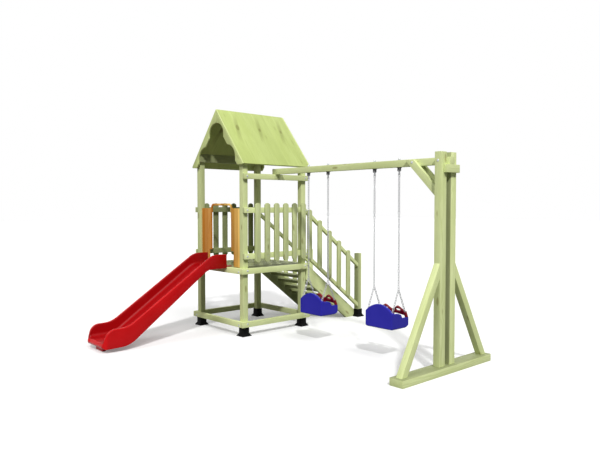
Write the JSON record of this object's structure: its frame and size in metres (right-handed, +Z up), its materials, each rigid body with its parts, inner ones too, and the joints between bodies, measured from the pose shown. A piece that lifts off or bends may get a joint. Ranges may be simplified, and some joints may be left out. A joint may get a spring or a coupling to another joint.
{
  "type": "wooden climbing frame",
  "caption": "Wooden play tower with a gabled roof, a moulded slide, stairs with railings and a swing arm that carries toddler bucket seats on chains.",
  "frame": {"origin": "middle of the whole object, on the ground", "axes": "+Z up, -X the way the slide runs out, +X the way the stairs run down, -Y the way the swing arm reaches"},
  "size_m": [4.1598, 4.093, 3.113],
  "materials": {
    "timber": "pressure-treated softwood, sawn and sanded, matt",
    "roof_timber": "pressure-treated board, smooth, matt",
    "shoe_black": "black moulded, matt",
    "slide_red": "red moulded, glossy",
    "guard_orange": "orange stained board, satin",
    "zinc_steel": "zinc plated, dull",
    "hanger_black": "black coated, satin",
    "chain_steel": "zinc plated",
    "seat_blue": "blue moulded, satin",
    "bar_red": "dark red moulded, satin"
  },
  "bodies": {
    "frame": {"post_slide_near": "timber", "post_slide_far": "timber", "post_stair_near": "timber", "post_stair_far": "timber", "tower_shoes": "shoe_black", "base_rails": "timber", "deck_fascias": "timber", "deck_joists": "timber", "deck_boards": "timber", "fence_rails_near": "timber", "fence_pickets_near": "timber", "fence_rails_far": "timber", "fence_pickets_far": "timber", "tie_rail_near": "timber", "roof_panel_near": "roof_timber", "roof_panel_far": "roof_timber", "ridge_board": "timber", "eave_plates": "timber", "barge_boards_slide": "timber", "barge_boards_stair": "timber", "slide_chute": "slide_red", "slide_guard": "guard_orange", "guard_battens": "timber", "stair_stringer_near": "timber", "stair_stringer_far": "timber", "stair_treads": "timber", "stair_post_near": "timber", "stair_post_far": "timber", "stair_shoes": "shoe_black", "stair_rails_near": "timber", "stair_rails_far": "timber", "stair_pickets_near": "timber", "stair_pickets_far": "timber", "swing_beam": "timber", "support_post_slide": "timber", "support_post_stair": "timber", "support_block": "timber", "base_plate": "timber", "brace_slide": "timber", "brace_stair": "timber", "knee_slide": "timber", "knee_stair": "timber", "hanger_bolts": "zinc_steel", "hanger_yokes": "hanger_black", "coach_bolts": "zinc_steel", "picket_screws": "zinc_steel"},
    "swing_1": {"swing_1_hooks": "chain_steel", "swing_1_chains": "chain_steel", "swing_1_seat": "seat_blue"},
    "swing_1_bar": {"swing_1_bar": "bar_red"},
    "swing_2": {"swing_2_hooks": "chain_steel", "swing_2_chains": "chain_steel", "swing_2_seat": "seat_blue"},
    "swing_2_bar": {"swing_2_bar": "bar_red"}
  },
  "joints": [
    {"name": "swing_1_hinge", "type": "hinge", "parent": "frame", "child": "swing_1", "pos_m": [0.3075, -0.0245, 2.167], "axis": [0, 1, 0], "range_deg": [-70, 70]},
    {"name": "swing_1_bar_slide", "type": "slide", "parent": "swing_1", "child": "swing_1_bar", "axis": [-0.4031, 0, 0.9152], "range_m": [0, 0.15]},
    {"name": "swing_2_hinge", "type": "hinge", "parent": "frame", "child": "swing_2", "pos_m": [0.3075, -1.1655, 2.167], "axis": [0, 1, 0], "range_deg": [-70, 70]},
    {"name": "swing_2_bar_slide", "type": "slide", "parent": "swing_2", "child": "swing_2_bar", "axis": [-0.4031, 0, 0.9152], "range_m": [0, 0.15]}
  ]
}
